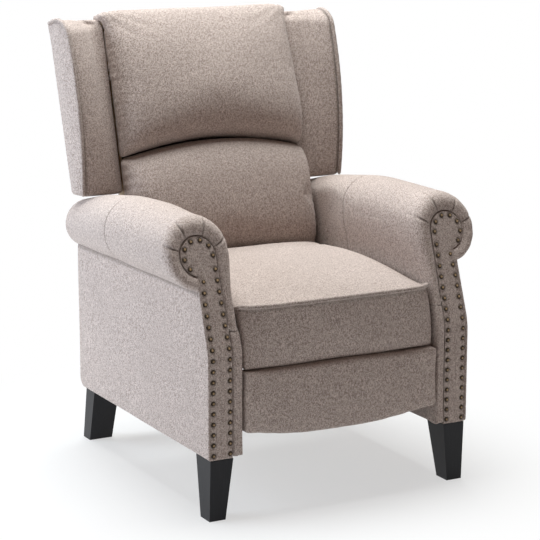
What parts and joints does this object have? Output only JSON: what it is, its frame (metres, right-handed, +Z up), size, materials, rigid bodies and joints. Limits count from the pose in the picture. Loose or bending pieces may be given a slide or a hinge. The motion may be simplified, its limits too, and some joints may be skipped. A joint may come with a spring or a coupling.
{
  "type": "pushback recliner",
  "caption": "Upholstered wingback armchair whose back reclines when pushed, sliding the seat forward and unfolding a padded footrest on a steel linkage; rolled arms, nail trim, tapered legs",
  "frame": {"origin": "on the floor under the middle of the closed chair", "axes": "+Z up, the front faces -Y, +X is to the right seen from the front"},
  "size_m": [0.7726, 0.7823, 1.0272],
  "materials": {
    "upholstery": "heathered flat weave",
    "black_wood": "black satin",
    "antique_brass": "antique",
    "plywood": "raw",
    "steel": "black satin",
    "webbing": "elastic webbing"
  },
  "bodies": {
    "base": {"left_base_plate": "steel", "right_base_plate": "steel", "left_arm_frame": "plywood", "right_arm_frame": "plywood", "plate_screws": "steel", "pivot_pins": "steel", "left_side_panel": "upholstery", "right_side_panel": "upholstery", "left_arm_rails": "plywood", "right_arm_rails": "plywood", "leg_bolts": "steel", "left_front_leg": "black_wood", "right_front_leg": "black_wood", "left_rear_leg": "black_wood", "right_rear_leg": "black_wood", "left_arm_roll": "upholstery", "right_arm_roll": "upholstery", "left_arm_facing": "upholstery", "right_arm_facing": "upholstery", "left_arm_border": "upholstery", "right_arm_border": "upholstery", "left_nails": "antique_brass", "right_nails": "antique_brass", "arm_welts": "upholstery", "rear_base_panel": "upholstery", "cross_rail": "plywood"},
    "seat": {"left_seat_plate": "steel", "right_seat_plate": "steel", "roller_pins": "steel", "seat_rivets": "steel", "cross_tube": "steel", "seat_side_rails": "plywood", "seat_cross_rails": "plywood", "seat_springs": "steel", "seat_cushion": "upholstery", "seat_welt": "upholstery"},
    "back": {"back_posts": "plywood", "back_cross_rails": "plywood", "back_webbing": "webbing", "outside_back": "upholstery", "left_back_bracket": "steel", "right_back_bracket": "steel", "drive_pins": "steel", "lumbar_cushion": "upholstery", "head_cushion": "upholstery", "wing_boards": "plywood", "left_wing": "upholstery", "right_wing": "upholstery", "wing_welts": "upholstery"},
    "rear_link": {"rear_links": "steel", "rear_link_rivets": "steel"},
    "front_link": {"front_links": "steel", "front_link_rivets": "steel"},
    "carrier_link": {"carrier_links": "steel"},
    "lower_link": {"lower_links": "steel"},
    "footrest": {"footrest_board": "plywood", "footrest_pad": "upholstery", "footrest_brackets": "steel", "footrest_rivets": "steel"}
  },
  "joints": [
    {"name": "back_recline", "type": "hinge", "parent": "base", "child": "back", "pos_m": [0, 0.249, 0.42], "axis": [-1, 0, 0], "range_deg": [0, 35]},
    {"name": "seat_slide", "type": "slide", "parent": "base", "child": "seat", "axis": [0, -1, 0], "range_m": [0, 0.07267]},
    {"name": "rear_link_swing", "type": "hinge", "parent": "seat", "child": "rear_link", "pos_m": [0, -0.266, 0.298], "axis": [-1, 0, 0], "range_deg": [0, 98.2]},
    {"name": "front_link_swing", "type": "hinge", "parent": "seat", "child": "front_link", "pos_m": [0, -0.21, 0.278], "axis": [-1, 0, 0], "range_deg": [0, 98.2]},
    {"name": "carrier_link_swing", "type": "hinge", "parent": "rear_link", "child": "carrier_link", "pos_m": [0, -0.20665, 0.20302], "axis": [-1, 0, 0], "range_deg": [-98.2, 0]},
    {"name": "lower_link_swing", "type": "hinge", "parent": "rear_link", "child": "lower_link", "pos_m": [0, -0.20281, 0.1632], "axis": [-1, 0, 0], "range_deg": [-98.2, 0]},
    {"name": "footrest_lift", "type": "hinge", "parent": "carrier_link", "child": "footrest", "pos_m": [0, -0.309, 0.3], "axis": [-1, 0, 0], "range_deg": [0, 98.2]}
  ],
  "couplings": [
    {"joint": "seat_slide", "follows": "back_recline", "m_per_rad": 0.11814},
    {"joint": "rear_link_swing", "follows": "back_recline", "ratio": 2.8},
    {"joint": "front_link_swing", "follows": "back_recline", "ratio": 2.8},
    {"joint": "carrier_link_swing", "follows": "back_recline", "ratio": -2.8},
    {"joint": "lower_link_swing", "follows": "back_recline", "ratio": -2.8},
    {"joint": "footrest_lift", "follows": "back_recline", "ratio": 2.8}
  ]
}
